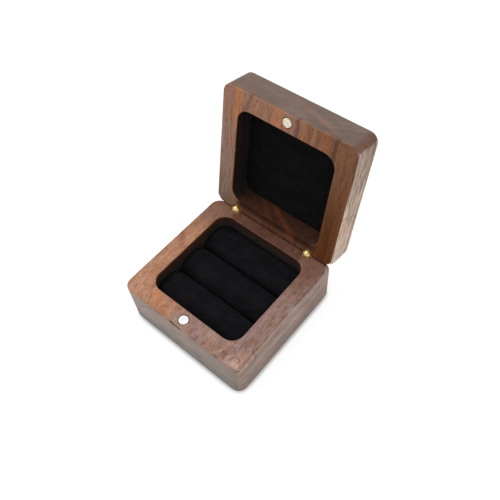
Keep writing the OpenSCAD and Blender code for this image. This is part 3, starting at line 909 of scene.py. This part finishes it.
class BOX_OT_hidden_layers(bpy.types.Operator):
    """Foam and card under the velvet, which keep their own shapes"""

    bl_idname = "display_box.hidden_layers"
    bl_label = "Foam and card"

    def execute(self, context):
        for finish, names in (
            (foam_finish(), ("foam_core_front", "foam_core_middle", "foam_core_rear")),
            (card_finish(), ("pad_board", "lid_board")),
        ):
            for name in names:
                slots = frame["nodes"][name].data.materials
                slots.clear()
                slots.append(finish)
        return {"FINISHED"}


# ---------------------------------------------------------------- stage


# The camera as it was fitted to the straight edges of the box in the photo, the lamp, both in metres,
# and the floor.
LENS_MM, SENSOR_MM = 40.9778, 36.0
CAMERA_AT = (0.092574, -0.080351, 0.215146)
CAMERA_TURN = (
    (0.76543, -0.50539, 0.39836),
    (0.64113, 0.65216, -0.40453),
    (-0.05535, 0.56504, 0.82321),
)
LAMP_AT, LAMP_AIM, LAMP_SIZE = (-0.20, 0.06, 0.52), (0.0, 0.0, 0.03), 0.36
FLOOR_HALF_MM, FLOOR_DROP_MM = 3000, 0.02


def lamp(name, at, aim, size, watts):
    """White square area lamp at a point, facing another point."""
    data = bpy.data.lights.new(name, "AREA")
    data.shape, data.size, data.energy = "SQUARE", size, watts
    made = bpy.data.objects.new(name, data)
    back = np.array(at, float) - np.array(aim, float)
    back /= np.linalg.norm(back)
    right = np.cross((0, 0, 1), back)
    right /= np.linalg.norm(right)
    basis = Matrix(np.stack([right, np.cross(back, right), back], 1).tolist()).to_4x4()
    basis.translation = at
    made.matrix_world = basis
    bpy.context.scene.collection.objects.link(made)


def white_floor(own_glow):
    """Floor that shows almost white and keeps the shadow. Its glow fades close round the foot of the box,
    where ((x/h)^12 + (y/h)^12)^(1/12), with h half the width of the foot, falls to 1: a painted contact
    shadow."""
    f = Finish("white floor")
    at = f.millimetres()
    paper = f.mix(f.noise(at, 0.02, 2.0), (0.25, 0.25, 0.25), (0.27, 0.27, 0.27))
    place = f.add("SeparateXYZ", {0: at}).outputs
    half_foot, squareness = CAD_BOX[1][0] * 1000, 12
    x, y = (f.math("DIVIDE", f.math("ABSOLUTE", place[axis]), half_foot) for axis in "XY")
    out = f.math("ADD", f.math("POWER", x, squareness), f.math("POWER", y, squareness))
    # Painted contact shadow: the glow falls to 0.35 of its strength at the foot of the box.
    painted_contact_shadow = f.range(f.math("POWER", out, 1 / squareness), 1.055, 0.985, 1.0, 0.35)
    lit = f.add("BsdfDiffuse", {"Color": paper})
    glow = f.add("Emission", {"Color": (1, 1, 1, 1), "Strength": f.math("MULTIPLY", painted_contact_shadow, own_glow)})
    to_view = f.add("AddShader", {0: lit.outputs[0], 1: glow.outputs[0]})
    to_light = f.add("BsdfDiffuse", {"Color": (0.75, 0.75, 0.75, 1)})
    f.end(f.add("MixShader", {0: f.shown(), 1: to_light.outputs[0], 2: to_view.outputs[0]}))
    square = ((-1, -1), (1, -1), (1, 1), (-1, 1))
    corners = [(x * FLOOR_HALF_MM, y * FLOOR_HALF_MM, -FLOOR_DROP_MM) for x, y in square]
    floor = piece_from("floor", corners, [[0, 1, 2, 3]])
    floor.data.materials.append(f.material)


def studio(room):
    """World that shows pure white and lights the box evenly with a strength of room."""
    world = bpy.data.worlds.new("studio")
    f = Shading(world)
    to_light, to_view = (f.add("Background", {"Color": (1, 1, 1, 1), "Strength": s}) for s in (room, 1.0))
    f.end(f.add("MixShader", {0: f.shown(), 1: to_light.outputs[0], 2: to_view.outputs[0]}), "OutputWorld")
    bpy.context.scene.world = world


def photo_camera():
    """The scene's camera, where the photo was taken from."""
    camera = bpy.data.cameras.new("photo_view")
    camera.sensor_width, camera.lens = SENSOR_MM, LENS_MM
    camera.clip_start, camera.clip_end = 0.01, 20.0
    made = bpy.data.objects.new("photo_view", camera)
    basis = Matrix(CAMERA_TURN).to_4x4()
    basis.translation = CAMERA_AT
    made.matrix_world = basis
    bpy.context.scene.collection.objects.link(made)
    bpy.context.scene.camera = made


class BOX_OT_stage(bpy.types.Operator):
    """White floor and background, a soft lamp above and the camera"""

    bl_idname = "display_box.stage"
    bl_label = "Stage"

    def execute(self, context):
        settings = context.scene.box_stage
        white_floor(settings.floor_glow)
        studio(settings.room)
        lamp("soft_top", LAMP_AT, LAMP_AIM, LAMP_SIZE, settings.top)
        photo_camera()
        context.scene.view_settings.view_transform = "Standard"
        return {"FINISHED"}


class BOX_PT_parts(bpy.types.Panel):
    """Shows the settings of the box and the buttons that build its pieces and stage"""

    bl_idname = "BOX_PT_parts"
    bl_label = "Display Box"
    bl_space_type = "VIEW_3D"
    bl_region_type = "UI"
    bl_category = "Display Box"

    def draw(self, context):
        for group, settings, operators in (
            ("Walnut", context.scene.box_walnut, ("walnut_case",)),
            ("Metal", context.scene.box_metal, ("brass_hinges", "magnets")),
            ("Velvet", context.scene.box_velvet, ("velvet_pad", "lid_lining", "hidden_layers")),
            ("Stage", context.scene.box_stage, ("stage",)),
        ):
            column = self.layout.box().column()
            column.label(text=group)
            for key in settings.__annotations__:
                column.prop(settings, key)
            for name in operators:
                column.operator("display_box." + name)


GROUPS = {
    "box_walnut": BOX_PG_walnut,
    "box_metal": BOX_PG_metal,
    "box_velvet": BOX_PG_velvet,
    "box_stage": BOX_PG_stage,
}
OPERATORS = (
    BOX_OT_walnut_case,
    BOX_OT_brass_hinges,
    BOX_OT_magnets,
    BOX_OT_velvet_pad,
    BOX_OT_lid_lining,
    BOX_OT_hidden_layers,
    BOX_OT_stage,
)
CLASSES = (*GROUPS.values(), *OPERATORS, BOX_PT_parts)


def register():
    for kind in CLASSES:
        bpy.utils.register_class(kind)
    for name, group in GROUPS.items():
        setattr(bpy.types.Scene, name, bpy.props.PointerProperty(type=group))


def unregister():
    for name in GROUPS:
        delattr(bpy.types.Scene, name)
    for kind in reversed(CLASSES):
        bpy.utils.unregister_class(kind)


def main():
    register()
    for kind in OPERATORS:
        getattr(bpy.ops.display_box, kind.bl_idname.split(".")[1])()


if __name__ == "__main__":
    main()
